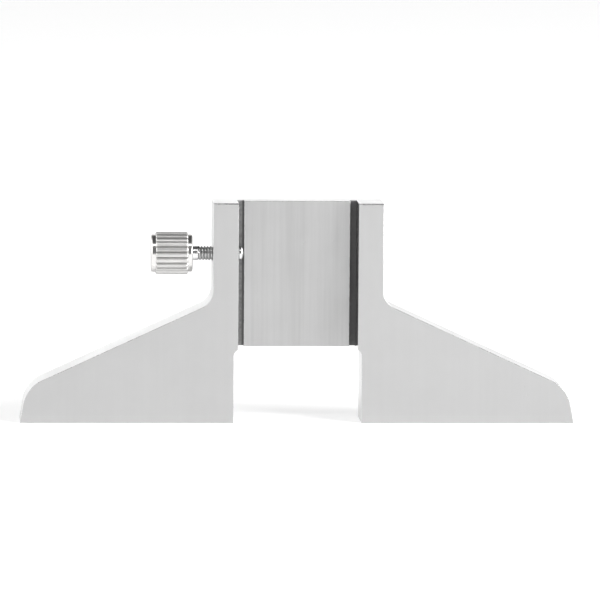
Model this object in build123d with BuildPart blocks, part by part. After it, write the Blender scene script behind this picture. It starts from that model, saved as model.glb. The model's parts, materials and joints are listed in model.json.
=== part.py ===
"""Depth base for a 16 mm caliper: a T-shaped steel base with a knurled clamp screw.

Millimetres. The origin is the middle of the measuring face, halfway through the thickness.
+X runs along the base, away from the clamp screw. +Y runs from the open front of the beam
slot to the back of the base. +Z runs up from the measuring face.
"""
import os
from math import atan2, cos, radians, sin, sqrt, tan

from build123d import *

# Caliper beam that the slot takes
beam_width = 16.0
beam_side_clearance = 0.2

# Base: outline, seen from the front
base_length = 75.0
base_height = 29.8
base_thickness = 7.0
post_wall = 3.4
wing_root_height = 16.35
wing_slope_deg = 24.7
wing_root_fillet = 2.6
wing_end_lean_deg = 10.0
wing_end_round = 4.2

# Base: beam slot, its corner reliefs and the window under it
slot_depth = 3.9
relief_width = 0.93
relief_depth = 1.0
relief_corner_radius = 0.25
window_height = 10.0
window_side_margin = 0.55
window_corner_radius = 0.9
edge_break = 0.15

# Clamp screw: thread, neck and place
thread_diameter = 2.0
thread_pitch = 0.4
thread_clearance = 0.05
neck_diameter = 1.9
neck_length = 0.8
pilot_length = 0.2
clamp_height = 22.78
clamp_setback = 2.9
screw_hole_break = 0.15
screw_hole_break_deg = 90

# Knurled knob
knob_diameter = 5.7
knob_length = 5.58
knob_gap = 2.74
collar_diameter = 5.1
collar_length = 0.62
knob_edge_break = 0.12
knurl_count = 22
knurl_groove_width = 0.4
knurl_groove_depth = 0.26
knurl_phase_deg = 8.7
knob_bore_diameter = 1.6
knob_bore_depth = 4.4
press_interference = 0.01

# Thrust tip, captive in the end of the stud
tip_diameter = 1.85
tip_protrusion = 0.8
tip_rim_length = 0.35
tip_dome_height = 0.3
tip_stem_diameter = 0.9
tip_stem_length = 1.2
tip_running_clearance = 0.03

# Sizes that follow from the ones above
slot_width = beam_width + beam_side_clearance
slot_half = slot_width / 2
post_half = slot_half + post_wall
front_y = -base_thickness / 2
floor_y = front_y + slot_depth
clamp_y = front_y + clamp_setback
screw_hole_radius = thread_diameter / 2 + thread_clearance

# Stations along the clamp screw's axis, from the knob to the tip
knob_inner_x = -post_half - knob_gap
knob_outer_x = knob_inner_x - knob_length
thread_start_x = knob_inner_x + neck_length
tip_apex_x = -slot_half + tip_protrusion
tip_rim_x = tip_apex_x - tip_dome_height
tip_shoulder_x = tip_rim_x - tip_rim_length
stud_end_x = tip_shoulder_x - tip_running_clearance
stud_tail_x = knob_inner_x - knob_bore_depth

# Metric thread form: a 60 degree triangle, with an eighth cut off its crest and a quarter
# filled in at its root
thread_crest_share = 1 / 8
thread_root_share = 1 / 4
thread_triangle_height = thread_pitch * sqrt(3) / 2
thread_depth = (1 - thread_crest_share - thread_root_share) * thread_triangle_height
thread_radius = thread_diameter / 2
thread_root_radius = thread_radius - thread_depth
tail_radius = (knob_bore_diameter + press_interference) / 2
stem_bore_radius = tip_stem_diameter / 2 + tip_running_clearance

# Dome of the thrust tip: a spherical cap over the rim, and a point halfway along its section
dome_radius = ((tip_diameter / 2) ** 2 + tip_dome_height**2) / (2 * tip_dome_height)
dome_half_angle = atan2(tip_diameter / 2, dome_radius - tip_dome_height) / 2
dome_point = (
    tip_apex_x - dome_radius * (1 - cos(dome_half_angle)),
    dome_radius * sin(dome_half_angle),
)

# Axis, section and cross plane of the clamp screw
clamp_axis = Axis((0, clamp_y, clamp_height), (1, 0, 0))
clamp_section = Plane(origin=(0, clamp_y, clamp_height), x_dir=(1, 0, 0), z_dir=(0, -1, 0))


def clamp_cross(x):
    """Plane square to the clamp screw's axis at x, facing away from the knob."""
    return Plane(origin=(x, clamp_y, clamp_height), x_dir=(0, 1, 0), z_dir=(1, 0, 0))


def wing_end_corner():
    """Point where the wing's slope and its leaning end face would meet, as (x, z)."""
    slope = tan(radians(wing_slope_deg))
    lean = tan(radians(wing_end_lean_deg))
    end_height = wing_root_height - slope * (base_length / 2 - post_half)
    z = end_height / (1 - slope * lean)
    return base_length / 2 - lean * z, z


# Depth base: one ground block with two wings, two posts and a thin back web
with BuildPart() as depth_base:
    with BuildSketch(Plane.XZ) as outline:
        with BuildLine():
            Polyline(
                (0, 0),
                (base_length / 2, 0),
                wing_end_corner(),
                (post_half, wing_root_height),
                (post_half, base_height),
                (0, base_height),
            )
            mirror(about=Plane.YZ)
        make_face()
        fillet(outline.vertices().group_by(Axis.Y)[1], wing_end_round)
        fillet(outline.vertices().group_by(Axis.Y)[-2], wing_root_fillet)
    extrude(amount=base_thickness / 2, both=True)

    # Beam slot, open at the front, with a relief along each floor corner
    slot_bottom = window_height - window_corner_radius
    inside_y = (front_y + edge_break, -front_y - edge_break)
    with BuildSketch(Plane.XY.offset(base_height)):
        with Locations((0, front_y)):
            Rectangle(slot_width, slot_depth, align=(Align.CENTER, Align.MIN))
        for side in (-1, 1):
            with Locations((side * (slot_half - relief_width / 2), floor_y)):
                Rectangle(relief_width, 2 * relief_depth)
    extrude(amount=-(base_height - slot_bottom), mode=Mode.SUBTRACT)
    relief_bottom_y = floor_y + relief_depth
    relief_corners = depth_base.edges().filter_by_position(Axis.Y, relief_bottom_y, relief_bottom_y)
    fillet(relief_corners.filter_by(Axis.Z), relief_corner_radius)

    # Window under the web, open at the measuring face
    with BuildSketch(Plane.XZ) as window:
        Rectangle(
            slot_width + 2 * window_side_margin,
            window_height,
            align=(Align.CENTER, Align.MIN),
        )
        fillet(window.vertices().group_by(Axis.Y)[-1], window_corner_radius)
    extrude(amount=base_thickness, both=True, mode=Mode.SUBTRACT)

    # Small breaks around the front and back faces, the top and the ends of the measuring faces
    broken = depth_base.edges().group_by(Axis.Y)[0] + depth_base.edges().group_by(Axis.Y)[-1]
    broken += depth_base.edges().group_by(Axis.Z)[-1].filter_by_position(Axis.Y, *inside_y)
    broken += depth_base.edges().group_by(Axis.Z)[0].filter_by(Axis.Y)
    chamfer(broken, edge_break)

    # Hole for the clamp screw, across the left post
    with Locations(Plane(origin=(-post_half, clamp_y, clamp_height), z_dir=(-1, 0, 0))):
        CounterSinkHole(
            screw_hole_radius,
            screw_hole_radius + screw_hole_break,
            depth=post_wall + relief_width / 2,
            counter_sink_angle=screw_hole_break_deg,
        )
depth_base.part.label = "depth_base"

# Cut thread of the stud. Square to the axis a thread has one constant outline: a crest arc, a
# root arc and two flanks whose radius changes evenly with the angle. The outline turns once
# for each pitch that it advances, right-handed.
crest_angle = 360 * thread_crest_share
root_angle = 360 * thread_root_share
flank_angle = (360 - crest_angle - root_angle) / 2
flank_steps = 6


def thread_point(radius, angle):
    """Point of the thread's outline at an angle in degrees."""
    return radius * cos(radians(angle)), radius * sin(radians(angle))


def thread_flank(start_angle, start_radius, end_radius):
    """Points of one flank, from its start angle to the end of its share of the turn."""
    return [
        thread_point(
            start_radius + (end_radius - start_radius) * step / flank_steps,
            start_angle + flank_angle * step / flank_steps,
        )
        for step in range(flank_steps + 1)
    ]


with BuildSketch() as thread_outline:
    with BuildLine():
        CenterArc((0, 0), thread_radius, 0, crest_angle)
        Spline(*thread_flank(crest_angle, thread_radius, thread_root_radius))
        CenterArc((0, 0), thread_root_radius, crest_angle + flank_angle, root_angle)
        Spline(*thread_flank(-flank_angle, thread_root_radius, thread_radius))
    make_face()
thread_length = stud_end_x - pilot_length - thread_start_x
thread_core = Solid.extrude_linear_with_rotation(
    thread_outline.face(),
    center=(0, 0, 0),
    normal=(0, 0, thread_length),
    angle=360 * thread_length / thread_pitch,
)

# Clamp stud: press tail, turned neck, thread, plain pilot and a blind bore for the tip's stem
with BuildPart() as clamp_stud:
    with BuildSketch(clamp_section):
        with BuildLine():
            Polyline(
                (stud_tail_x, 0),
                (stud_tail_x, tail_radius - edge_break),
                (stud_tail_x + edge_break, tail_radius),
                (knob_inner_x, tail_radius),
                (knob_inner_x, neck_diameter / 2),
                (thread_start_x, neck_diameter / 2),
                (thread_start_x, 0),
                close=True,
            )
        make_face()
    revolve(axis=clamp_axis)
    add(thread_core.moved(clamp_cross(thread_start_x).location))
    with BuildSketch(clamp_cross(stud_end_x)):
        Circle(thread_root_radius)
    extrude(amount=-pilot_length)
    with BuildSketch(clamp_cross(stud_end_x)):
        Circle(stem_bore_radius)
    extrude(amount=-(tip_stem_length + tip_running_clearance), mode=Mode.SUBTRACT)
clamp_stud.part.label = "clamp_stud"

# Clamp knob: a straight-knurled band between two plain collars, bored blind for the stud's tail
with BuildPart() as clamp_knob:
    with BuildSketch(clamp_section):
        with BuildLine():
            Polyline(
                (knob_outer_x, 0),
                (knob_outer_x, collar_diameter / 2 - knob_edge_break),
                (knob_outer_x + knob_edge_break, collar_diameter / 2),
                (knob_outer_x + collar_length, collar_diameter / 2),
                (knob_outer_x + collar_length, knob_diameter / 2 - knob_edge_break),
                (knob_outer_x + collar_length + knob_edge_break, knob_diameter / 2),
                (knob_inner_x - collar_length - knob_edge_break, knob_diameter / 2),
                (knob_inner_x - collar_length, knob_diameter / 2 - knob_edge_break),
                (knob_inner_x - collar_length, collar_diameter / 2),
                (knob_inner_x - knob_edge_break, collar_diameter / 2),
                (knob_inner_x, collar_diameter / 2 - knob_edge_break),
                (knob_inner_x, 0),
                close=True,
            )
        make_face()
    revolve(axis=clamp_axis)
    with BuildSketch(clamp_cross(knob_outer_x + collar_length)):
        with PolarLocations(knob_diameter / 2, knurl_count, knurl_phase_deg):
            Polygon(
                (0, knurl_groove_width / 2),
                (-knurl_groove_depth, 0),
                (0, -knurl_groove_width / 2),
                (knurl_groove_depth, -knurl_groove_width / 2),
                (knurl_groove_depth, knurl_groove_width / 2),
                align=None,
            )
    extrude(amount=knob_length - 2 * collar_length, mode=Mode.SUBTRACT)
    with BuildSketch(clamp_cross(knob_inner_x)):
        Circle(knob_bore_diameter / 2)
    extrude(amount=-knob_bore_depth, mode=Mode.SUBTRACT)
clamp_knob.part.label = "clamp_knob"

# Thrust tip: a domed head that bears on the beam, on a stem that turns in the stud
with BuildPart() as thrust_tip:
    with BuildSketch(clamp_section):
        with BuildLine():
            stem_end_x = tip_shoulder_x - tip_stem_length
            Polyline(
                (tip_apex_x, 0),
                (stem_end_x, 0),
                (stem_end_x, tip_stem_diameter / 2),
                (tip_shoulder_x, tip_stem_diameter / 2),
                (tip_shoulder_x, tip_diameter / 2),
                (tip_rim_x, tip_diameter / 2),
            )
            ThreePointArc(
                (tip_rim_x, tip_diameter / 2),
                dome_point,
                (tip_apex_x, 0),
            )
        make_face()
    revolve(axis=clamp_axis)
thrust_tip.part.label = "thrust_tip"

os.makedirs("parts", exist_ok=True)
for piece in (depth_base, clamp_stud, clamp_knob, thrust_tip):
    export_step(piece.part, f"parts/{piece.part.label}.step")
    print(piece.part.label, round(piece.part.volume, 3), "mm3")
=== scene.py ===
# %% [markdown]
# # A depth base for a 16 mm caliper
#
# The object is a T-shaped block of ground steel that is clamped on the beam of a caliper, so
# that the caliper's depth rod can be used as a depth gauge. It has two wings to stand on, two
# posts with an open slot between them for the beam, and a small knurled screw in the left post.
#
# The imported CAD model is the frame: it fixes where each piece is and which body it moves with.
# The four pieces are modelled again here, because looks live in what a CAD solid leaves out:
# rounded edges that catch the light, a knurl with worn ridges, and finishes that tell a ground
# face from an unground groove.

import json
from math import atan2, ceil, cos, hypot, radians, sin, sqrt, tan, tau

import bmesh
import bpy
from mathutils import Matrix, Vector


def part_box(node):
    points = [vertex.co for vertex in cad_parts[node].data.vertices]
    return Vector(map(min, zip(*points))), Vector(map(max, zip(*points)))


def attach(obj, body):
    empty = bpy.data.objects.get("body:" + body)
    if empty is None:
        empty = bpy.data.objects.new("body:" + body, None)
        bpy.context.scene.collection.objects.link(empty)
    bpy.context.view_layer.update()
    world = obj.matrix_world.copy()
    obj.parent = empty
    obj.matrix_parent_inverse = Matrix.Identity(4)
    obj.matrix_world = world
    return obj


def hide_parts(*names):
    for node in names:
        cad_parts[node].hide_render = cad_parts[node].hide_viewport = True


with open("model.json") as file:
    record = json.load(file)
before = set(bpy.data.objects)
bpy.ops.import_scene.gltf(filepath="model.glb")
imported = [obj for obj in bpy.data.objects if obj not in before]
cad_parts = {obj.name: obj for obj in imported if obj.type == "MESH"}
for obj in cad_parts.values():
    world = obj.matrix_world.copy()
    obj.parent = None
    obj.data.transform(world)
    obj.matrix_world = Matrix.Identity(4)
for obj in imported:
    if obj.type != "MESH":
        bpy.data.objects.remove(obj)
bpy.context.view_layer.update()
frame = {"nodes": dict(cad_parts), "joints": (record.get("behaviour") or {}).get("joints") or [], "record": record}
print("nodes:", sorted(frame["nodes"]))

# %% [markdown]
# ## Sizes
#
# A workshop drawing is in millimetres, so each piece is drawn in millimetres and shrunk to
# metres when it is finished. What the frame knows is read from it: the boxes of the CAD nodes
# and the axis of the clamp screw. The rest are the named sizes of the drawing.

# %% Sizes from the frame
MM = 0.001


def node_box(node):
    """Lowest and highest corner of a CAD node, in millimetres."""
    low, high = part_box(node)
    return low / MM, high / MM


base_low, base_high = node_box("depth_base")
knob_low, knob_high = node_box("clamp_knob")
tip_apex = node_box("thrust_tip")[1].x
clamp_turn = next(joint for joint in frame["joints"] if joint["name"] == "clamp_turn")
clamp_y, clamp_z = clamp_turn["pos_m"][1] / MM, clamp_turn["pos_m"][2] / MM
slot_floor = next(m for m in frame["record"]["mounts"] if m["name"] == "slot_floor")
floor_y = slot_floor["pos_m"][1] / MM
print("base, in mm:", [round(size, 2) for size in base_high - base_low])
print(f"clamp axis at y {clamp_y:.2f}, z {clamp_z:.2f} mm, slot floor at y {floor_y:.2f} mm")

# %% [markdown]
# ## Camera
#
# The photograph was taken from a little to the left of the middle and a little above, through a
# long lens. That shows in three places: the right wall of the slot can be seen and the left
# one can't, the tops of the posts are thin light strips, and upright edges stay parallel.
# A long lens on Blender's 36 mm sensor and a camera 0.8 m away give the same picture.

# %% Camera
camera_distance = 0.8
camera_azimuth = -3.323
camera_elevation = 6.184
camera_roll = radians(0.448)
aim_point = Vector((0.42, 0.0, 16.37)) * MM
lens_length = 354.5
sensor_width = 36.0


def direction_to(azimuth, elevation):
    """Unit vector for an azimuth, counted from the front to the right, and an elevation."""
    azimuth, elevation = radians(azimuth), radians(elevation)
    return Vector((sin(azimuth) * cos(elevation), -cos(azimuth) * cos(elevation), sin(elevation)))


from_object = direction_to(camera_azimuth, camera_elevation)
camera_data = bpy.data.cameras.new("camera")
camera_data.lens = lens_length
camera_data.sensor_width = sensor_width
camera_data.clip_start = 0.01
camera_data.clip_end = 20.0
camera = bpy.data.objects.new("camera", camera_data)
camera_roll_turn = Matrix.Rotation(camera_roll, 3, "Z").to_quaternion()
camera_turn = from_object.to_track_quat("Z", "Y") @ camera_roll_turn
camera_place = Matrix.Translation(aim_point + from_object * camera_distance)
camera.matrix_world = camera_place @ camera_turn.to_matrix().to_4x4()
bpy.context.scene.collection.objects.link(camera)
bpy.context.scene.camera = camera
print("camera at", [round(value, 3) for value in camera.matrix_world.translation])

# %% [markdown]
# ## Light
#
# Bare metal has no colour of its own to show: it shows the room. So the room matters more than
# the lamps. The photograph shows what kind of room it was. The tops of the posts and the narrow
# side of the left post mirror what stands behind and beside the object, and they are nearly
# white, so there were bright walls. The top of the knob and the thin edges along the tops of
# the posts mirror what is overhead, and they are grey, so the ceiling was dark.
#
# The room could be an image, but a short formula says the same. Each wall is a soft round patch
# of light in one direction. It is fully bright inside its core and fades out to its rim, both
# given as angles from its middle, and the patches are added up over a dim ceiling.

# %% The room
ceiling_brightness = 0.10
walls = (
    # azimuth, elevation, core, rim (all in degrees), brightness
    (180, 7, 12, 36, 1.5),
    (-90, 4, 28, 66, 2.3),
    (90, 4, 28, 66, 0.75),
    (0, 10, 28, 66, 0.1),
)

world = bpy.data.worlds.new("studio room")
world.use_nodes = True
bpy.context.scene.world = world
nodes, links = world.node_tree.nodes, world.node_tree.links
background = nodes["Background"]
background.inputs["Color"].default_value = (1.0, 1.0, 1.0, 1.0)
direction = nodes.new("ShaderNodeTexCoord")
total = nodes.new("ShaderNodeValue")
total.outputs["Value"].default_value = ceiling_brightness
total = total.outputs["Value"]
for azimuth, elevation, core, rim, brightness in walls:
    towards_wall = nodes.new("ShaderNodeVectorMath")
    towards_wall.operation = "DOT_PRODUCT"
    towards_wall.inputs[1].default_value = direction_to(azimuth, elevation)
    patch = nodes.new("ShaderNodeMapRange")
    patch.interpolation_type = "SMOOTHSTEP"
    patch.inputs["From Min"].default_value = cos(radians(rim))
    patch.inputs["From Max"].default_value = cos(radians(core))
    patch.inputs["To Max"].default_value = brightness
    added = nodes.new("ShaderNodeMath")
    links.new(direction.outputs["Generated"], towards_wall.inputs[0])
    links.new(towards_wall.outputs["Value"], patch.inputs["Value"])
    links.new(total, added.inputs[0])
    links.new(patch.outputs["Result"], added.inputs[1])
    total = added.outputs["Value"]
links.new(total, background.inputs["Strength"])
print("room with", len(walls), "bright walls")

# %% [markdown]
# Two soft boxes stand in that room. The key is in front on the right: it makes the right wing a
# little lighter than the left, and the right post keeps it off the right edge of the slot's
# floor, which is why that edge is darker. The second is a narrow strip overhead. On a flat
# face it does little, but every round piece mirrors it as one thin bright line: it is the light
# band along the upper part of the knob and of the two collars.

# %% Soft boxes


def soft_box(name, azimuth, elevation, distance, width, height, power):
    """Area light on a sphere round the object, turned towards it. Angles in degrees."""
    light = bpy.data.lights.new(name, "AREA")
    light.shape = "RECTANGLE"
    light.size = width
    light.size_y = height
    light.energy = power
    towards = direction_to(azimuth, elevation)
    lamp = bpy.data.objects.new(name, light)
    turn = towards.to_track_quat("Z", "Y").to_matrix().to_4x4()
    lamp.matrix_world = Matrix.Translation(towards * distance) @ turn
    bpy.context.scene.collection.objects.link(lamp)
    return lamp


soft_boxes = (
    soft_box("key soft box", 57, 18, distance=1.1, width=0.7, height=0.5, power=19.0),
    soft_box("top soft box", 8, 58, distance=1.1, width=0.9, height=0.18, power=1.6),
)
print("soft boxes:", [lamp.name for lamp in soft_boxes])

# %% [markdown]
# The object stands on a white table that is lit a little from below, as product photographers
# use it: the shadow under the object stays faint and the background comes out white.

# %% Table
table_size = 8.0
table_colour = (0.86, 0.86, 0.86, 1.0)
table_glow = 0.33

table_material = bpy.data.materials.new("white table")
table_material.use_nodes = True
table_shader = table_material.node_tree.nodes["Principled BSDF"]
table_shader.inputs["Base Color"].default_value = table_colour
table_shader.inputs["Roughness"].default_value = 0.9
table_shader.inputs["Specular IOR Level"].default_value = 0.1
table_shader.inputs["Emission Color"].default_value = (1.0, 1.0, 1.0, 1.0)
table_shader.inputs["Emission Strength"].default_value = table_glow

bm = bmesh.new()
bmesh.ops.create_grid(bm, x_segments=1, y_segments=1, size=table_size / 2)
table_mesh = bpy.data.meshes.new("table")
bm.to_mesh(table_mesh)
bm.free()
table_mesh.materials.append(table_material)
table = bpy.data.objects.new("table", table_mesh)
bpy.context.scene.collection.objects.link(table)
print("table is", table_size, "m wide")

# %% [markdown]
# ## Effects that the metals share
#
# Every finish here comes from a tool. A grinding wheel leaves fine parallel lines, hands leave
# faint blotches, and use polishes the edges. Each is a node group with named inputs, so that
# one group serves several metals with different values. A group only puts out masks, heights
# and distances: the shader itself stays in each material.

# %% Helpers for node groups


def new_group(name, inputs, outputs):
    """Empty shader node group. Inputs are (name, type, default), outputs are names."""
    group = bpy.data.node_groups.new(name, "ShaderNodeTree")
    for label, kind, default in inputs:
        socket = group.interface.new_socket(label, in_out="INPUT", socket_type=kind)
        socket.default_value = default
    for label in outputs:
        group.interface.new_socket(label, in_out="OUTPUT", socket_type="NodeSocketFloat")
    return group, group.nodes.new("NodeGroupInput"), group.nodes.new("NodeGroupOutput")


def math_node(tree, operation, first, second, clamp=False):
    """Math node whose inputs are sockets or numbers."""
    node = tree.nodes.new("ShaderNodeMath")
    node.operation = operation
    node.use_clamp = clamp
    for socket, value in zip(node.inputs, (first, second)):
        if isinstance(value, (int, float)):
            socket.default_value = value
        else:
            tree.links.new(value, socket)
    return node.outputs["Value"]


def noise_node(tree, position, scale, detail, roughness=0.5):
    """Noise in 3D, read at a position."""
    node = tree.nodes.new("ShaderNodeTexNoise")
    node.inputs["Scale"].default_value = scale
    node.inputs["Detail"].default_value = detail
    node.inputs["Roughness"].default_value = roughness
    tree.links.new(position, node.inputs["Vector"])
    return node.outputs["Fac"]


def stretched(tree, position, stretch):
    """A position multiplied by a stretch, which is a vector or a socket."""
    node = tree.nodes.new("ShaderNodeVectorMath")
    node.operation = "MULTIPLY"
    tree.links.new(position, node.inputs[0])
    if isinstance(stretch, (tuple, list)):
        node.inputs[1].default_value = stretch
    else:
        tree.links.new(stretch, node.inputs[1])
    return node.outputs["Vector"]


def ramp_node(tree, value, low, high, to_low=0.0, to_high=1.0):
    """Smooth step from low to high."""
    node = tree.nodes.new("ShaderNodeMapRange")
    node.interpolation_type = "SMOOTHSTEP"
    node.inputs["From Min"].default_value = low
    node.inputs["From Max"].default_value = high
    node.inputs["To Min"].default_value = to_low
    node.inputs["To Max"].default_value = to_high
    tree.links.new(value, node.inputs["Value"])
    return node.outputs["Result"]


def scaled(tree, position, scale):
    """A position multiplied by one number, which is a socket."""
    node = tree.nodes.new("ShaderNodeVectorMath")
    node.operation = "SCALE"
    tree.links.new(position, node.inputs["Vector"])
    tree.links.new(scale, node.inputs["Scale"])
    return node.outputs["Vector"]


print("node helpers ready")

# %% [markdown]
# Grinding lines are noise that is squeezed across the lines and drawn out along them. The
# stretch is a vector in lines per millimetre, so the same group gives upright lines on the
# slot's floor and lines along the thickness on the narrow faces. Two layers, one fine and one
# coarse, keep it from looking like a printed pattern.

# %% Group: grinding lines
grind_group, group_in, group_out = new_group(
    "Grinding lines",
    (
        ("Position", "NodeSocketVector", (0.0, 0.0, 0.0)),
        ("Lines per mm", "NodeSocketVector", (6.0, 0.1, 0.1)),
    ),
    ("Fine", "Broad"),
)
lines_at = stretched(grind_group, group_in.outputs["Position"], group_in.outputs["Lines per mm"])
fine_lines = noise_node(grind_group, lines_at, 1.0, 4.0, 0.65)
broad_lines = noise_node(grind_group, lines_at, 0.22, 3.0, 0.6)
grind_group.links.new(ramp_node(grind_group, fine_lines, 0.25, 0.75), group_out.inputs["Fine"])
grind_group.links.new(ramp_node(grind_group, broad_lines, 0.3, 0.7), group_out.inputs["Broad"])
print("group:", grind_group.name)

# %% [markdown]
# Handling marks are soft blotches, a few millimetres wide, where fingers and rags have been,
# and a few short hair scratches. The scratches are thin bands cut out of a noise: the narrow
# range of values round one half draws a line wherever the noise passes through it.

# %% Group: handling marks
handling_group, group_in, group_out = new_group(
    "Handling marks",
    (
        ("Position", "NodeSocketVector", (0.0, 0.0, 0.0)),
        ("Blotch size mm", "NodeSocketFloat", 6.0),
    ),
    ("Blotches", "Scratches"),
)
per_blotch = math_node(handling_group, "DIVIDE", 1.0, group_in.outputs["Blotch size mm"])
blotch_at = scaled(handling_group, group_in.outputs["Position"], per_blotch)
blotches = noise_node(handling_group, blotch_at, 1.0, 4.0, 0.55)
scratch_at = stretched(handling_group, group_in.outputs["Position"], (0.55, 0.55, 0.09))
scratch_noise = noise_node(handling_group, scratch_at, 1.6, 2.0, 0.4)
scratch_line = math_node(
    handling_group, "ABSOLUTE", math_node(handling_group, "SUBTRACT", scratch_noise, 0.5), 0.0
)
scratch_mask = ramp_node(handling_group, scratch_line, 0.0, 0.004, 1.0, 0.0)
scratch_breaks = ramp_node(
    handling_group, noise_node(handling_group, group_in.outputs["Position"], 0.35, 1.0), 0.52, 0.62
)
blotch_mask = ramp_node(handling_group, blotches, 0.3, 0.7)
broken_scratches = math_node(handling_group, "MULTIPLY", scratch_mask, scratch_breaks)
handling_group.links.new(blotch_mask, group_out.inputs["Blotches"])
handling_group.links.new(broken_scratches, group_out.inputs["Scratches"])
print("group:", handling_group.name)

# %% [markdown]
# Edge wear follows the model, not a guess: the faces that a bevel makes carry an attribute
# called edge, and the group breaks that mask up with noise, so that the polish comes and goes
# along an edge as it does on a tool that has been in and out of its case.

# %% Group: edge wear
wear_group, group_in, group_out = new_group(
    "Edge wear",
    (
        ("Position", "NodeSocketVector", (0.0, 0.0, 0.0)),
        ("Edge", "NodeSocketFloat", 0.0),
        ("Patch size mm", "NodeSocketFloat", 1.5),
    ),
    ("Polish",),
)
per_patch = math_node(wear_group, "DIVIDE", 1.0, group_in.outputs["Patch size mm"])
patch_at = scaled(wear_group, group_in.outputs["Position"], per_patch)
patches = noise_node(wear_group, patch_at, 1.0, 3.0, 0.6)
patch_mask = ramp_node(wear_group, patches, 0.3, 0.65, 0.35, 1.0)
worn_edge = math_node(wear_group, "MULTIPLY", group_in.outputs["Edge"], patch_mask)
wear_group.links.new(worn_edge, group_out.inputs["Polish"])
print("group:", wear_group.name)

# %% [markdown]
# ## Metals
#
# Each metal is one Principled shader that is fully metallic, with three things driven by the
# masks: its colour, its roughness and the height of a bump. They read the object's own
# coordinates in millimetres, so a line on the floor of the slot is as wide as a real one, and
# it stays where it is when the screw turns.

# %% Helpers for metals


def grey(value):
    """Neutral colour of one brightness."""
    return (value, value, value, 1.0)


def place_group(tree, group, **inputs):
    """Group node with its inputs set. Spaces in a socket's name are written as underscores."""
    node = tree.nodes.new("ShaderNodeGroup")
    node.node_tree = group
    for name, value in inputs.items():
        socket = node.inputs[name.replace("_", " ")]
        if isinstance(value, bpy.types.NodeSocket):
            tree.links.new(value, socket)
        else:
            socket.default_value = value
    return node


def mix_values(tree, mask, low, high):
    """Value that goes from low to high with a mask."""
    node = tree.nodes.new("ShaderNodeMapRange")
    node.inputs["To Min"].default_value = low
    node.inputs["To Max"].default_value = high
    tree.links.new(mask, node.inputs["Value"])
    return node.outputs["Result"]


def mix_colours(tree, mask, first, second):
    """Colour that goes from the first to the second with a mask."""
    node = tree.nodes.new("ShaderNodeMix")
    node.data_type = "RGBA"
    tree.links.new(mask, node.inputs["Factor"])
    for socket, value in ((node.inputs[6], first), (node.inputs[7], second)):
        if isinstance(value, bpy.types.NodeSocket):
            tree.links.new(value, socket)
        else:
            socket.default_value = value
    return node.outputs[2]


def new_metal(name):
    """Metallic material, its shader and the object's position in millimetres."""
    material = bpy.data.materials.new(name)
    material.use_nodes = True
    tree = material.node_tree
    shader = tree.nodes["Principled BSDF"]
    shader.inputs["Metallic"].default_value = 1.0
    coordinates = tree.nodes.new("ShaderNodeTexCoord")
    position = stretched(tree, coordinates.outputs["Object"], (1 / MM, 1 / MM, 1 / MM))
    return material, tree, shader, position


def edge_attribute(tree):
    """Mask of the faces that a bevel made."""
    node = tree.nodes.new("ShaderNodeAttribute")
    node.attribute_name = "edge"
    return node.outputs["Fac"]


def add_bump(tree, shader, height, depth_mm):
    """Bump of a real depth, in millimetres, on the shader's normal."""
    node = tree.nodes.new("ShaderNodeBump")
    node.inputs["Strength"].default_value = 1.0
    node.inputs["Distance"].default_value = depth_mm * MM
    tree.links.new(height, node.inputs["Height"])
    tree.links.new(node.outputs["Normal"], shader.inputs["Normal"])


print("metal helpers ready")

# %% [markdown]
# Ground steel covers the base. The same satin shows on its front, back, narrow faces and on
# the floor of the slot, but the floor is coarser: it was ground up and down in the slot, and
# nothing has worn it since. So one function makes them all, from the direction of the lines
# and how strongly they show.

# %% Ground steel
handled_strength = 0.12
handled_brightness = 0.8
polished_brightness = 1.08
line_roughness = 0.03
polish_smoothing = 0.12
scratch_smoothing = 0.06
scratch_depth = 1.5


def ground_steel(name, lines_per_mm, brightness, roughness, line_shade, line_depth):
    """Ground steel whose lines show by line_shade and are line_depth millimetres deep."""
    material, tree, shader, position = new_metal(name)
    lines = place_group(tree, grind_group, Position=position, Lines_per_mm=lines_per_mm)
    marks = place_group(tree, handling_group, Position=position)
    wear = place_group(tree, wear_group, Position=position, Edge=edge_attribute(tree))

    darker = grey(brightness * (1 - line_shade))
    lighter = grey(brightness * (1 + line_shade))
    lined = mix_colours(tree, lines.outputs["Fine"], darker, lighter)
    broad = mix_colours(tree, lines.outputs["Broad"], darker, lighter)
    half = tree.nodes.new("ShaderNodeMix")
    half.data_type = "RGBA"
    half.inputs["Factor"].default_value = 0.5
    tree.links.new(lined, half.inputs[6])
    tree.links.new(broad, half.inputs[7])
    handled = math_node(tree, "MULTIPLY", marks.outputs["Blotches"], handled_strength)
    clean_and_unshaded = mix_colours(tree, handled, half.outputs[2], grey(brightness * handled_brightness))
    polished_colour = grey(brightness * polished_brightness)
    polished = mix_colours(tree, wear.outputs["Polish"], clean_and_unshaded, polished_colour)
    tree.links.new(polished, shader.inputs["Base Color"])

    low, high = roughness - line_roughness, roughness + line_roughness
    satin = mix_values(tree, lines.outputs["Fine"], low, high)
    blotched = mix_values(tree, marks.outputs["Blotches"], -0.02, 0.03)
    handled_satin = math_node(tree, "ADD", satin, blotched)
    smoothed = mix_values(tree, wear.outputs["Polish"], 0.0, polish_smoothing)
    worn = math_node(tree, "SUBTRACT", handled_satin, smoothed)
    smoothed = mix_values(tree, marks.outputs["Scratches"], 0.0, scratch_smoothing)
    tree.links.new(math_node(tree, "SUBTRACT", worn, smoothed), shader.inputs["Roughness"])

    scratches = math_node(tree, "MULTIPLY", marks.outputs["Scratches"], scratch_depth)
    height = math_node(tree, "SUBTRACT", lines.outputs["Fine"], scratches)
    add_bump(tree, shader, height, line_depth)
    return material


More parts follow.
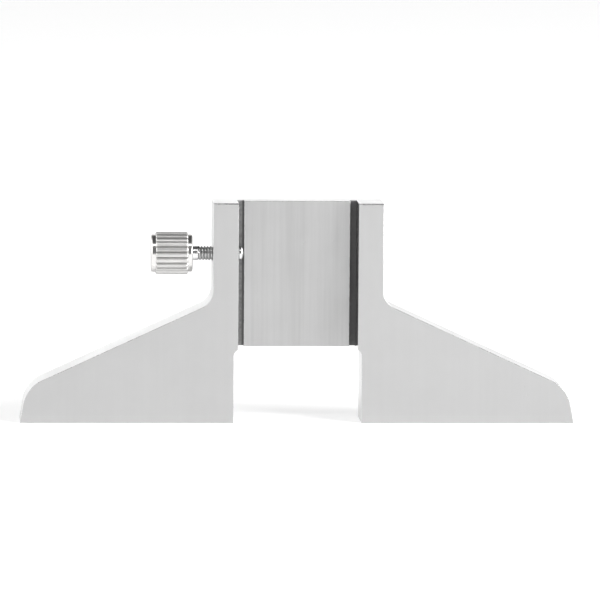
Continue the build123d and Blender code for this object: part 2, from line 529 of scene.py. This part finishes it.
steel_brightness = 0.555
satin_upright = ground_steel(
    "satin steel", (5.0, 0.2, 0.12), steel_brightness, roughness=0.36,
    line_shade=0.012, line_depth=0.0006,
)
satin_across = ground_steel(
    "edge-ground steel", (3.0, 0.1, 3.0), steel_brightness * 1.12, roughness=0.34,
    line_shade=0.015, line_depth=0.0006,
)
slot_ground = ground_steel(
    "slot-ground steel", (3.2, 1.0, 0.07), steel_brightness * 0.93, roughness=0.34,
    line_shade=0.07, line_depth=0.0012,
)
slot_wall_steel = ground_steel(
    "slot-wall steel", (1.0, 3.0, 0.1), steel_brightness * 0.9, roughness=0.16, line_shade=0.02,
    line_depth=0.0003,
)
lapped_steel = ground_steel(
    "lapped steel", (2.0, 2.0, 2.0), steel_brightness * 1.05, roughness=0.22, line_shade=0.01,
    line_depth=0.0002,
)
ground_steels = (satin_upright, satin_across, slot_ground, slot_wall_steel, lapped_steel)
print("ground steels:", [steel.name for steel in ground_steels])

# %% [markdown]
# The two grooves in the slot's corners were cut before grinding and no wheel has touched them
# since. They keep the dark skin of the hardened steel, with a film of oil that takes dust, and
# their dark colour is also painted shade of a deep, narrow groove. In the photograph the right
# one is dark all over, and the left one is lighter on its outer side, where the key light from
# the right reaches in. That light is painted: the colour changes with the place along X, and a
# point is painted as lit when it lies further to the left than the middle of the left groove's
# bottom.

# %% Dark groove steel
# Distances to the left of the middle, in millimetres, where the painted key light starts and where it is full
key_lit_from, key_lit_fully = 7.36, 7.46
dark_skin_and_shade = grey(0.2)
groove_material, tree, shader, position = new_metal("unground groove steel")
skin = noise_node(tree, position, 3.0, 6.0, 0.6)
across = tree.nodes.new("ShaderNodeSeparateXYZ")
tree.links.new(position, across.inputs[0])
to_the_left = math_node(tree, "MULTIPLY", across.outputs["X"], -1.0)
painted_key_light = ramp_node(tree, to_the_left, key_lit_from, key_lit_fully)
painted_lit_colour = mix_colours(tree, ramp_node(tree, skin, 0.3, 0.7), grey(0.3), grey(0.46))
# Painted light and shade: the dark skin, darkened as painted shade, turns to a painted lit colour on the left
# groove's outer side
tree.links.new(mix_colours(tree, painted_key_light, dark_skin_and_shade, painted_lit_colour), shader.inputs["Base Color"])
tree.links.new(mix_values(tree, skin, 0.6, 0.8), shader.inputs["Roughness"])
add_bump(tree, shader, skin, 0.002)
print("groove steel:", groove_material.name)

# %% [markdown]
# The knob is nickel-plated: bright, a little warm, dark and dull in the bottoms of its grooves,
# which is partly dirt that stays there and partly painted shade, and smoother on its two plain
# collars. The stud is plain steel, with a thread whose roots are painted darker as shade, and a
# bright neck. The tip is polished. All of them share fine rings about the clamp axis, which
# are noise that is read at a point's distance from that axis and its place along it.

# %% Group: turning marks
turning_group, group_in, group_out = new_group(
    "Turning marks",
    (
        ("Position", "NodeSocketVector", (0.0, 0.0, 0.0)),
        ("Rings per mm", "NodeSocketFloat", 12.0),
    ),
    ("Rings", "Distance mm"),
)
from_axis = turning_group.nodes.new("ShaderNodeVectorMath")
from_axis.operation = "SUBTRACT"
from_axis.inputs[1].default_value = (0.0, clamp_y, clamp_z)
turning_group.links.new(group_in.outputs["Position"], from_axis.inputs[0])
across_axis = stretched(turning_group, from_axis.outputs["Vector"], (0.0, 1.0, 1.0))
axis_distance = turning_group.nodes.new("ShaderNodeVectorMath")
axis_distance.operation = "LENGTH"
turning_group.links.new(across_axis, axis_distance.inputs[0])
along_axis = turning_group.nodes.new("ShaderNodeSeparateXYZ")
turning_group.links.new(group_in.outputs["Position"], along_axis.inputs[0])
ring_at = turning_group.nodes.new("ShaderNodeCombineXYZ")
turning_group.links.new(along_axis.outputs["X"], ring_at.inputs["X"])
turning_group.links.new(axis_distance.outputs["Value"], ring_at.inputs["Y"])
rings_at = scaled(turning_group, ring_at.outputs["Vector"], group_in.outputs["Rings per mm"])
rings = noise_node(turning_group, rings_at, 1.0, 2.0)
turning_group.links.new(ramp_node(turning_group, rings, 0.3, 0.7), group_out.inputs["Rings"])
turning_group.links.new(axis_distance.outputs["Value"], group_out.inputs["Distance mm"])
print("group:", turning_group.name)

# %% Metals of the screw


def turned_metal(name, bright, dirt_and_shade_colour, dirt_and_shade_inside, clean_and_unshaded_outside, smooth, rough, glancing):
    """Metal that is darker, by dirt and painted shade, up to one distance from the clamp axis and bright from
    another.

    Glancing is how much of the usual white shine is left where it is seen edge-on.
    """
    material, tree, shader, position = new_metal(name)
    shader.inputs["Specular Tint"].default_value = grey(glancing)
    turning = place_group(tree, turning_group, Position=position)
    marks = place_group(tree, handling_group, Position=position, Blotch_size_mm=1.2)
    wear = place_group(
        tree, wear_group, Position=position, Edge=edge_attribute(tree), Patch_size_mm=0.5
    )
    # Darker towards the axis: dirt, and painted shade in the knurl's grooves and the thread's roots
    clean_and_unshaded = ramp_node(tree, turning.outputs["Distance mm"], dirt_and_shade_inside, clean_and_unshaded_outside)
    spots = math_node(tree, "MULTIPLY", marks.outputs["Blotches"], 0.15)
    spotted = math_node(tree, "SUBTRACT", clean_and_unshaded, spots, clamp=True)
    with_dirt_and_shade = mix_colours(tree, spotted, dirt_and_shade_colour, bright)
    lightened = tuple(min(1.0, channel * polished_brightness) for channel in bright[:3]) + (1.0,)
    tree.links.new(
        mix_colours(tree, wear.outputs["Polish"], with_dirt_and_shade, lightened), shader.inputs["Base Color"]
    )
    dull = mix_values(tree, spotted, rough, smooth)
    ringed = math_node(tree, "ADD", dull, mix_values(tree, turning.outputs["Rings"], -0.02, 0.03))
    scratched = mix_values(tree, marks.outputs["Scratches"], 0.0, 0.1)
    tree.links.new(math_node(tree, "ADD", ringed, scratched), shader.inputs["Roughness"])
    add_bump(tree, shader, turning.outputs["Rings"], 0.0008)
    return material


# The knurl's grooves are painted darker: dirt that stays there, and painted shade
knob_nickel = turned_metal(
    "knurled nickel", bright=(0.655, 0.65, 0.64, 1.0), dirt_and_shade_colour=(0.36, 0.355, 0.35, 1.0),
    dirt_and_shade_inside=2.58, clean_and_unshaded_outside=2.72, smooth=0.4, rough=0.5, glancing=0.45,
)
collar_nickel = turned_metal(
    "turned nickel", bright=(0.76, 0.75, 0.74, 1.0), dirt_and_shade_colour=(0.5, 0.49, 0.48, 1.0),
    dirt_and_shade_inside=0.0, clean_and_unshaded_outside=0.1, smooth=0.18, rough=0.3, glancing=0.6,
)
# The thread's roots are painted darker as shade
thread_steel = turned_metal(
    "cut thread steel", bright=grey(0.95), dirt_and_shade_colour=grey(0.4), dirt_and_shade_inside=0.76,
    clean_and_unshaded_outside=0.94, smooth=0.2, rough=0.35, glancing=0.05,
)
neck_steel = turned_metal(
    "turned neck steel", bright=grey(0.86), dirt_and_shade_colour=grey(0.5), dirt_and_shade_inside=0.6, clean_and_unshaded_outside=0.8,
    smooth=0.2, rough=0.3, glancing=0.1,
)
tip_steel = turned_metal(
    "polished tip steel", bright=grey(0.80), dirt_and_shade_colour=grey(0.5), dirt_and_shade_inside=0.3,
    clean_and_unshaded_outside=0.5, smooth=0.1, rough=0.2, glancing=0.3,
)
screw_metals = (knob_nickel, collar_nickel, thread_steel, neck_steel, tip_steel)
print("screw metals:", [metal.name for metal in screw_metals])

# %% [markdown]
# ## The base
#
# On the real object this is one block: milled to its outline, slotted, hardened and ground.
# A boolean could cut the slot out of a block, but it leaves long thin faces that bevel badly.
# So the block is built up in layers instead, from the back to the front, as a stack of plates:
# the whole outline first, then the outline without the two grooves, then only the posts and
# wings. Each layer is one extrusion, and every wall comes out as one clean face.

# %% Outline of the front
slot_half = 8.1
post_half = 11.5
wing_root_height = 16.35
wing_slope = radians(24.7)
wing_end_lean = radians(10)
window_half = 8.65
window_height = 10.0
wing_end_cut = 2.05
wing_root_cut = 1.58
window_corner_cut = 0.9
round_steps = 10
back_y, front_y = base_high.y, base_low.y
half_length = base_high.x


def rounded(bm, corners, cut, steps):
    """Round flat corners: the arc starts at a distance of cut from each corner."""
    return bmesh.ops.bevel(
        bm,
        geom=corners,
        offset=cut,
        offset_type="OFFSET",
        segments=steps,
        profile=0.5,
        affect="VERTICES",
        material=-1,
    )


def near(value, target, tolerance=0.001):
    """Whether two sizes are the same."""
    return abs(value - target) < tolerance


# Where the slope of the wing and its leaning end meet
end_drop = wing_root_height - tan(wing_slope) * (half_length - post_half)
wing_end_z = end_drop / (1 - tan(wing_slope) * tan(wing_end_lean))
wing_end_x = half_length - tan(wing_end_lean) * wing_end_z

right_half = (
    (window_half, window_height),
    (window_half, 0),
    (half_length, 0),
    (wing_end_x, wing_end_z),
    (post_half, wing_root_height),
    (post_half, base_high.z),
)
bm = bmesh.new()
corners = [bm.verts.new((x, back_y, z)) for x, z in right_half]
corners += [bm.verts.new((-x, back_y, z)) for x, z in reversed(right_half)]
bm.faces.new(corners)
rounded(bm, [v for v in bm.verts if near(v.co.z, wing_end_z)], wing_end_cut, round_steps)
rounded(bm, [v for v in bm.verts if near(v.co.z, wing_root_height)], wing_root_cut, round_steps)
rounded(bm, [v for v in bm.verts if near(v.co.z, window_height)], window_corner_cut, round_steps)
print("outline has", len(bm.verts), "points")

# %% [markdown]
# The outline is cut into upright strips along the walls of the slot and of its grooves, and
# the strips are then pulled forward by different amounts.

# %% Layers from back to front
relief_width = 0.93
relief_depth = 1.0
groove_half = slot_half - relief_width
relief_y = floor_y + relief_depth

for wall_x in (-slot_half, -groove_half, groove_half, slot_half):
    everything = bm.verts[:] + bm.edges[:] + bm.faces[:]
    bmesh.ops.bisect_plane(bm, geom=everything, plane_co=(wall_x, 0, 0), plane_no=(1, 0, 0))


def with_edges(faces):
    """Faces and their edges. An extrusion that isn't given the edges leaves inner walls behind."""
    return faces + list(dict.fromkeys(edge for face in faces for edge in face.edges))


def pull_forward(bm, faces, to_y, keep_back=False):
    """Extrude faces to a depth, and return the moved faces."""
    region = with_edges(faces)
    moved = bmesh.ops.extrude_face_region(bm, geom=region, use_keep_orig=keep_back)["geom"]
    for vert in (e for e in moved if isinstance(e, bmesh.types.BMVert)):
        vert.co.y = to_y
    return [e for e in moved if isinstance(e, bmesh.types.BMFace)]


def strip_x(face):
    """How far a strip's middle is from the middle of the base."""
    return abs(face.calc_center_median().x)


web = pull_forward(bm, bm.faces[:], relief_y, keep_back=True)
ground = pull_forward(bm, [f for f in web if not groove_half < strip_x(f) < slot_half], floor_y)
pull_forward(bm, [f for f in ground if strip_x(f) > slot_half], front_y)
bmesh.ops.recalc_face_normals(bm, faces=bm.faces)
bmesh.ops.dissolve_limit(bm, angle_limit=radians(0.5), verts=bm.verts, edges=bm.edges)
print("block has", len(bm.faces), "faces")

# %% [markdown]
# The bottoms of the grooves are rounded by the cutter's corners, so those edges get a bevel
# now, before any other edge.

# %% Rounded groove bottoms
relief_round = 0.25


def bevel_edges(bm, edges, width, steps):
    """Round edges by a bevel and return the new faces."""
    return bmesh.ops.bevel(
        bm,
        geom=edges,
        offset=width,
        offset_type="OFFSET",
        segments=steps,
        profile=0.5,
        affect="EDGES",
        clamp_overlap=True,
        material=-1,
    )["faces"]


groove_edges = [
    edge
    for edge in bm.edges
    if all(near(v.co.y, relief_y) and groove_half - 0.1 < abs(v.co.x) for v in edge.verts)
    and all(abs(v.co.x) < slot_half + 0.1 for v in edge.verts)
    and near(edge.verts[0].co.x, edge.verts[1].co.x)
    and not near(edge.verts[0].co.z, edge.verts[1].co.z, 1.0)
]
bevel_edges(bm, groove_edges, relief_round, 4)
print("rounded", len(groove_edges), "groove edges")

# %% [markdown]
# The hole for the screw is the one place where a boolean is the right tool: a round hole
# through a flat wall. The cutter is a cylinder, used once and thrown away. It stands out of
# the wall by only a little, because the hole is so close to the slot's floor that a longer one
# would scrape it.

# %% Hole for the screw
hole_radius = 1.05
hole_steps = 64
cutter_margin = 0.2
weld_distance = 0.0005
FLAT, BROKEN = range(2)


def to_mesh_object(bm, name):
    """Finish a bmesh as a linked object, in metres."""
    bmesh.ops.scale(bm, vec=(MM, MM, MM), verts=bm.verts)
    mesh = bpy.data.meshes.new(name)
    bm.to_mesh(mesh)
    bm.free()
    piece = bpy.data.objects.new(name, mesh)
    bpy.context.scene.collection.objects.link(piece)
    return piece


def with_modifier(bm, kind, **settings):
    """Drawing with one modifier carried out on it."""
    block = to_mesh_object(bm, "block")
    for _ in (FLAT, BROKEN):
        block.data.materials.append(None)
    modifier = block.modifiers.new(kind.lower(), kind)
    for name, value in settings.items():
        setattr(modifier, name, value)
    bpy.context.view_layer.update()
    dependencies = bpy.context.evaluated_depsgraph_get()
    shape = bpy.data.meshes.new_from_object(block.evaluated_get(dependencies))
    bm = bmesh.new()
    bm.from_mesh(shape)
    bmesh.ops.scale(bm, vec=(1 / MM, 1 / MM, 1 / MM), verts=bm.verts)
    bmesh.ops.remove_doubles(bm, verts=bm.verts, dist=weld_distance)
    bpy.data.objects.remove(block)
    bpy.data.meshes.remove(shape)
    return bm


def along_clamp_axis(x):
    """Matrix that lays a shape made about Z on the clamp axis, with its middle at x."""
    return Matrix.Translation((x, clamp_y, clamp_z)) @ Matrix.Rotation(tau / 4, 4, "Y")


cutter_bm = bmesh.new()
bmesh.ops.create_cone(
    cutter_bm,
    cap_ends=True,
    segments=hole_steps,
    radius1=hole_radius,
    radius2=hole_radius,
    depth=post_half - slot_half + 2 * cutter_margin,
    matrix=along_clamp_axis(-(post_half + slot_half) / 2),
)
cutter = to_mesh_object(cutter_bm, "hole_cutter")
bm = with_modifier(bm, "BOOLEAN", operation="DIFFERENCE", solver="EXACT", object=cutter)
bpy.data.objects.remove(cutter)
print("drilled block has", len(bm.faces), "faces")

# %% [markdown]
# No edge of a hardened tool is knife-sharp: each is broken by a light touch on a stone. That
# thin round draws the light and dark lines round the object in the photograph. The tops of the
# posts show the widest line, because a caliper is pushed in over them. The edges of the
# measuring faces and of the back are only just broken, because grinding those faces last
# sharpens them again. Inward corners stay sharp.
#
# So there are three widths. Three bevels one after another would leave slivers in the corners,
# and the next bevel would shrink to the size of the smallest one. The bevel modifier makes
# them all at once instead, because it reads a weight from each edge. It also gives the new
# faces a material slot of their own, which is how they are found and marked for the wear mask.

# %% Broken edges
top_edge_break = 0.17
fine_edge_break = 0.04
edge_break = 0.05
sharp_turn = radians(30)


def outward_edges(bm):
    """Edges where two faces meet in a sharp outward corner."""
    return [
        edge
        for edge in bm.edges
        if len(edge.link_faces) == 2 and edge.calc_face_angle_signed(0.0) > sharp_turn
    ]


def mark_edges(bm, faces):
    """Write 1 on the faces of a bevel, in the attribute that the wear mask reads."""
    layer = bm.faces.layers.float.get("edge") or bm.faces.layers.float.new("edge")
    for face in faces:
        if face.is_valid:
            face[layer] = 1.0


def lies_at(edge, axis, place):
    """Whether both ends of an edge are at one place along an axis."""
    return all(near(vert.co[axis], place) for vert in edge.verts)


def broken_by(edge):
    """How wide an outward edge of the base is broken."""
    if lies_at(edge, 2, base_high.z) and lies_at(edge, 1, front_y):
        return top_edge_break
    if lies_at(edge, 2, 0) or lies_at(edge, 1, back_y):
        return fine_edge_break
    return edge_break


weight = bm.edges.layers.float.new("bevel_weight_edge")
for edge in outward_edges(bm):
    edge[weight] = broken_by(edge) / top_edge_break
bm = with_modifier(
    bm,
    "BEVEL",
    limit_method="WEIGHT",
    width=top_edge_break * MM,
    segments=3,
    profile=0.5,
    material=BROKEN,
)
bm.faces.layers.float.new("edge")
mark_edges(bm, [face for face in bm.faces if face.material_index == BROKEN])
print("base has", len(bm.faces), "faces with its broken edges")

# %% [markdown]
# The finish differs from face to face, so each face gets one of the six steels by where it is
# and which way it looks.

# %% Finishes of the base
base_finishes = ground_steels + (groove_material,)
SATIN, ACROSS, SLOT, WALL, LAPPED, GROOVE = range(len(base_finishes))
slack = 0.02
relief_start_z = window_height + 0.2


def base_finish(face):
    """Which steel a face of the base shows."""
    middle, normal = face.calc_center_median(), face.normal
    behind_floor = floor_y + slack < middle.y < relief_y + slack and middle.z > relief_start_z
    if behind_floor and groove_half - slack < abs(middle.x) < slot_half + slack:
        return GROOVE
    if abs(middle.x) < groove_half and near(middle.y, floor_y, slack):
        return SLOT
    if near(abs(middle.x), slot_half, 0.01) and abs(normal.x) > 0.9:
        return WALL
    if middle.z < slack:
        return LAPPED
    if abs(normal.y) > 0.5:
        return SATIN
    return ACROSS


for face in bm.faces:
    face.material_index = base_finish(face)
finish_counts = [sum(f.material_index == i for f in bm.faces) for i in range(len(base_finishes))]
print("faces of each finish:", finish_counts)

# %% [markdown]
# Each finished piece is shaded smooth, with its sharp edges kept, and its normals are weighted
# by the size of the faces: large flat faces stay flat, and the turn happens on the thin bevels.

# %% Finish a piece


def finish_piece(bm, name, materials, node, body):
    """Turn a drawing in millimetres into a piece that stands for a CAD node."""
    piece = to_mesh_object(bm, name)
    for material in materials:
        piece.data.materials.append(material)
    piece.data.shade_smooth()
    piece.data.set_sharp_from_angle(angle=radians(40))
    weighted = piece.modifiers.new("weighted normals", "WEIGHTED_NORMAL")
    weighted.keep_sharp = True
    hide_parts(node)
    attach(piece, body)
    print(name, "has", len(piece.data.polygons), "faces")


finish_piece(bm, "ground_base", base_finishes, "depth_base", "base")

# %% [markdown]
# ## The knob
#
# A straight knurl is rolled or cut in a lathe: 22 grooves along a cylinder, with a plain collar
# left at each end. One tooth is drawn as a short chain of points and spun round the axis in 22
# copies, which makes the outline of the whole ring. The ring is then pulled along the axis
# from station to station. On the collars all its points are at one radius, and on the
# knurl each kind of point has its own, so the grooves run out cleanly against the collars.

# %% Outline of the knurl
knob_diameter = 5.7
collar_diameter = 5.1
collar_length = 0.62
knob_edge_break = 0.12
knurl_count = 22
knurl_phase = radians(8.7)
groove_width = 0.4
groove_depth = 0.26
bore_diameter = 1.6
bore_depth = 4.4
knob_outer_x, knob_inner_x = knob_low.x, knob_high.x
knurl_radius = knob_diameter / 2
collar_radius = collar_diameter / 2
tooth_angle = tau / knurl_count
groove_half_angle = groove_width / knob_diameter
GROOVE_POINT, RIDGE_POINT = 0, 1


def clamp_point(x, radius, angle):
    """Point at a distance from the clamp axis, at an angle that is counted from +Y."""
    return Vector((x, clamp_y + radius * cos(angle), clamp_z + radius * sin(angle)))


bm = bmesh.new()
kind = bm.verts.layers.int.new("kind")
ridge_angle = tooth_angle - 2 * groove_half_angle
ridge_steps = 4
tooth = [bm.verts.new(clamp_point(knob_outer_x, collar_radius, knurl_phase))]
for step in range(ridge_steps + 1):
    angle = knurl_phase + groove_half_angle + ridge_angle * step / ridge_steps
    tooth.append(bm.verts.new(clamp_point(knob_outer_x, collar_radius, angle)))
    tooth[-1][kind] = RIDGE_POINT
tooth.append(bm.verts.new(clamp_point(knob_outer_x, collar_radius, knurl_phase + tooth_angle)))
for first, second in zip(tooth, tooth[1:]):
    bm.edges.new((first, second))
bmesh.ops.spin(
    bm,
    geom=bm.verts[:] + bm.edges[:],
    cent=clamp_point(knob_outer_x, 0, 0),
    axis=(1, 0, 0),
    angle=tau - tooth_angle,
    steps=knurl_count - 1,
    use_duplicate=True,
)
bmesh.ops.remove_doubles(bm, verts=bm.verts, dist=0.001)
bmesh.ops.edgeloop_fill(bm, edges=bm.edges)
print("ring of the knurl has", len(bm.verts), "points")

# %% Pull the ring along the axis
about_axis = Matrix.Translation((0, -clamp_y, -clamp_z))


def pulled_to(bm, end, x, groove_radius, ridge_radius, keep_start=False):
    """Extrude an end face to x with new radii, and return the new end face."""
    region = with_edges([end])
    moved = bmesh.ops.extrude_face_region(bm, geom=region, use_keep_orig=keep_start)["geom"]
    verts = [e for e in moved if isinstance(e, bmesh.types.BMVert)]
    for point_kind, radius in ((GROOVE_POINT, groove_radius), (RIDGE_POINT, ridge_radius)):
        chosen = [v for v in verts if v[kind] == point_kind]
        here = chosen[0].co
        scale = radius / hypot(here.y - clamp_y, here.z - clamp_z)
        bmesh.ops.scale(bm, vec=(1, scale, scale), space=about_axis, verts=chosen)
        bmesh.ops.translate(bm, vec=(x - here.x, 0, 0), verts=chosen)
    return next(e for e in moved if isinstance(e, bmesh.types.BMFace))


groove_radius = knurl_radius - groove_depth
chamfer_radius = knurl_radius - knob_edge_break
collar_break_radius = collar_radius - knob_edge_break
knurl_start = knob_outer_x + collar_length
knurl_end = knob_inner_x - collar_length
ridge_start = knurl_start + knob_edge_break
ridge_end = knurl_end - knob_edge_break
# Flat rings close to both ends of the ridges keep the shading of the long faces straight
hold = 0.1
stations = (
    (knob_outer_x + knob_edge_break, collar_radius, collar_radius),
    (knurl_start, collar_radius, collar_radius),
    (knurl_start, groove_radius, chamfer_radius),
    (ridge_start, groove_radius, knurl_radius),
    (ridge_start + hold, groove_radius, knurl_radius),
    (ridge_end - hold, groove_radius, knurl_radius),
    (ridge_end, groove_radius, knurl_radius),
    (knurl_end, groove_radius, chamfer_radius),
    (knurl_end, collar_radius, collar_radius),
    (knob_inner_x - knob_edge_break, collar_radius, collar_radius),
    (knob_inner_x, collar_break_radius, collar_break_radius),
    (knob_inner_x, bore_diameter / 2, bore_diameter / 2),
    (knob_inner_x - bore_depth, bore_diameter / 2, bore_diameter / 2),
)
start = next(iter(bm.faces))
bmesh.ops.scale(
    bm,
    vec=(1, collar_break_radius / collar_radius, collar_break_radius / collar_radius),
    space=about_axis,
    verts=bm.verts,
)
end = pulled_to(bm, start, *stations[0], keep_start=True)
for station in stations[1:]:
    end = pulled_to(bm, end, *station)
bmesh.ops.recalc_face_normals(bm, faces=bm.faces)
print("knob has", len(bm.faces), "faces before its edges are rounded")

# %% [markdown]
# The ridges of a knurl that fingers turn every day are the first edges to round off. A narrow
# bevel along each ridge and round each collar gives them their thin highlights.

# %% Worn edges of the knob
ridge_round = 0.05

bm.faces.layers.float.new("edge")
mark_edges(bm, bevel_edges(bm, outward_edges(bm), ridge_round, 2))
KNURL, COLLAR = range(2)
for face in bm.faces:
    middle = face.calc_center_median()
    face.material_index = KNURL if knurl_start - 0.01 < middle.x < knurl_end + 0.01 else COLLAR
knob_metals = (knob_nickel, collar_nickel)
finish_piece(bm, "knurled_knob", knob_metals, "clamp_knob", "clamp_screw")

# %% [markdown]
# ## The stud
#
# The thread is the shape that spin was made for: one groove of the thread, one pitch long, is
# turned about the axis and moved forward by one pitch for each turn. Neighbouring turns meet
# point on point and merge into one helical surface. It is then cut square at both ends and
# capped. M2 has a pitch of 0.4 mm and a 60 degree form with a narrow crest and a wider root.

# %% Thread
thread_radius = 1.0
thread_pitch = 0.4
crest_share, root_share = 1 / 8, 1 / 4
thread_depth = (1 - crest_share - root_share) * thread_pitch * sqrt(3) / 2
root_radius = thread_radius - thread_depth
neck_length = 0.8
pilot_length = 0.2
tip_gap = 0.03
tip_dome_height = 0.3
tip_rim_length = 0.35
thread_steps = 48
thread_start = knob_inner_x + neck_length
stud_end = tip_apex - tip_dome_height - tip_rim_length - tip_gap
thread_end = stud_end - pilot_length

flank = thread_pitch * (1 - crest_share - root_share) / 2
thread_form = (
    (0, thread_radius),
    (flank, root_radius),
    (flank + root_share * thread_pitch, root_radius),
    (thread_pitch * (1 - crest_share), thread_radius),
    (thread_pitch, thread_radius),
)
turns = ceil((thread_end - thread_start) / thread_pitch) + 1

bm = bmesh.new()
form = [bm.verts.new(clamp_point(thread_start - thread_pitch + x, r, 0)) for x, r in thread_form]
for first, second in zip(form, form[1:]):
    bm.edges.new((first, second))
bmesh.ops.spin(
    bm,
    geom=bm.verts[:] + bm.edges[:],
    cent=clamp_point(0, 0, 0),
    axis=(1, 0, 0),
    dvec=(thread_pitch / thread_steps, 0, 0),
    angle=tau * turns,
    steps=thread_steps * turns,
)
bmesh.ops.remove_doubles(bm, verts=bm.verts, dist=weld_distance)
for plane_x, side in ((thread_start, -1), (thread_end, 1)):
    bmesh.ops.bisect_plane(
        bm,
        geom=bm.verts[:] + bm.edges[:] + bm.faces[:],
        plane_co=(plane_x, 0, 0),
        plane_no=(side, 0, 0),
        clear_outer=True,
    )
    rim = [e for e in bm.edges if e.is_boundary and all(near(v.co.x, plane_x) for v in e.verts)]
    bmesh.ops.edgeloop_fill(bm, edges=rim)
print("thread has", turns, "turns and", len(bm.faces), "faces")

# %% [markdown]
# The rest of the stud is a plain turned bar inside the thread: the tail that is pressed into
# the knob, the neck next to it, and the pilot at the far end with a bore for the tip's stem.
# A lathe in Blender is a drawn profile and a full spin. The profile is drawn with a pen:
# straight moves with line_to, and round ones with arc_to, which is itself a small spin.

# %% Pen and lathe


def line_to(bm, vert, x, radius):
    """Draw a straight line of the profile from a point to x and a radius."""
    new = bmesh.ops.extrude_vert_indiv(bm, verts=[vert])["verts"][0]
    new.co = profile_point(x, radius)
    return new


def arc_to(bm, vert, centre_x, centre_radius, angle, steps):
    """Draw an arc of the profile about a centre in its plane."""
    turned = bmesh.ops.spin(
        bm,
        geom=[vert],
        cent=profile_point(centre_x, centre_radius),
        axis=(0, 1, 0),
        angle=angle,
        steps=steps,
    )
    return next(e for e in turned["geom_last"] if isinstance(e, bmesh.types.BMVert))


def profile_point(x, radius):
    """Point of a profile, which is drawn straight above the clamp axis."""
    return Vector((x, clamp_y, clamp_z + radius))


def turn_in_lathe(bm, geometry, steps=64):
    """Spin a profile once round the clamp axis and close it."""
    bmesh.ops.spin(
        bm,
        geom=geometry,
        cent=clamp_point(0, 0, 0),
        axis=(1, 0, 0),
        angle=tau,
        steps=steps,
        use_merge=True,
    )
    bmesh.ops.remove_doubles(bm, verts=bm.verts, dist=weld_distance)
    bmesh.ops.recalc_face_normals(bm, faces=bm.faces)


print("pen and lathe ready")

# %% Bar of the stud
tail_radius = bore_diameter / 2
neck_radius = 0.95
neck_break = 0.08
core_radius = root_radius - 0.02
core_step = 0.05
pilot_break = 0.03
bore_bottom_gap = 0.02
stem_bore_radius = 0.48
stem_bore_depth = 1.23

bar = bmesh.new()
tail_end = knob_inner_x - bore_depth + bore_bottom_gap
point = bar.verts.new(profile_point(tail_end, 0))
for x, radius in (
    (tail_end, tail_radius),
    (knob_inner_x, tail_radius),
    (knob_inner_x, neck_radius),
    (thread_start - neck_break, neck_radius),
    (thread_start, neck_radius - neck_break),
    (thread_start + core_step, core_radius),
    (thread_end, core_radius),
    (thread_end, root_radius),
    (stud_end - pilot_break, root_radius),
    (stud_end, root_radius - pilot_break),
    (stud_end, stem_bore_radius),
    (stud_end - stem_bore_depth, stem_bore_radius),
    (stud_end - stem_bore_depth, 0),
):
    point = line_to(bar, point, x, radius)
turn_in_lathe(bar, bar.verts[:] + bar.edges[:])
bar_mesh = bpy.data.meshes.new("bar")
bar.to_mesh(bar_mesh)
bar.free()

bmesh.ops.recalc_face_normals(bm, faces=bm.faces)
bm.faces.ensure_lookup_table()
thread_faces = len(bm.faces)
bm.from_mesh(bar_mesh)
bpy.data.meshes.remove(bar_mesh)
bm.faces.layers.float.new("edge")
THREAD, NECK = range(2)
for index, face in enumerate(bm.faces):
    face.material_index = THREAD if index < thread_faces else NECK
stud_metals = (thread_steel, neck_steel)
finish_piece(bm, "threaded_stud", stud_metals, "clamp_stud", "clamp_screw")

# %% [markdown]
# ## The tip
#
# The tip is what presses on the caliper's beam. It is a little domed pad on a stem that turns
# in the end of the stud, so that the beam isn't rubbed when the screw is tightened. The dome is
# part of a sphere, drawn as an arc, with a tiny flat land and a rounded rim behind it.

# %% Domed tip
tip_radius = 0.925
stem_radius = 0.45
stem_length = 1.2
rim_round = 0.05
tip_rim = tip_apex - tip_dome_height
tip_shoulder = tip_rim - tip_rim_length
dome_radius = (tip_radius**2 + tip_dome_height**2) / (2 * tip_dome_height)
dome_angle = atan2(tip_radius, dome_radius - tip_dome_height)

bm = bmesh.new()
point = bm.verts.new(profile_point(tip_apex, 0))
point = arc_to(bm, point, tip_apex - dome_radius, 0, -dome_angle, 12)
for x, radius in (
    (tip_shoulder, tip_radius),
    (tip_shoulder, stem_radius),
    (tip_shoulder - stem_length, stem_radius),
    (tip_shoulder - stem_length, 0),
):
    point = line_to(bm, point, x, radius)
turn_in_lathe(bm, bm.verts[:] + bm.edges[:])
bm.faces.layers.float.new("edge")
mark_edges(bm, bevel_edges(bm, outward_edges(bm), rim_round, 3))
finish_piece(bm, "domed_tip", (tip_steel,), "thrust_tip", "tip")

# %% [markdown]
# ## Finish
#
# The colours are shown as they are, without a film look, so that a grey in the render can be
# set against the same grey in the photograph.

# %% View and finish
bpy.context.scene.view_settings.view_transform = "Standard"
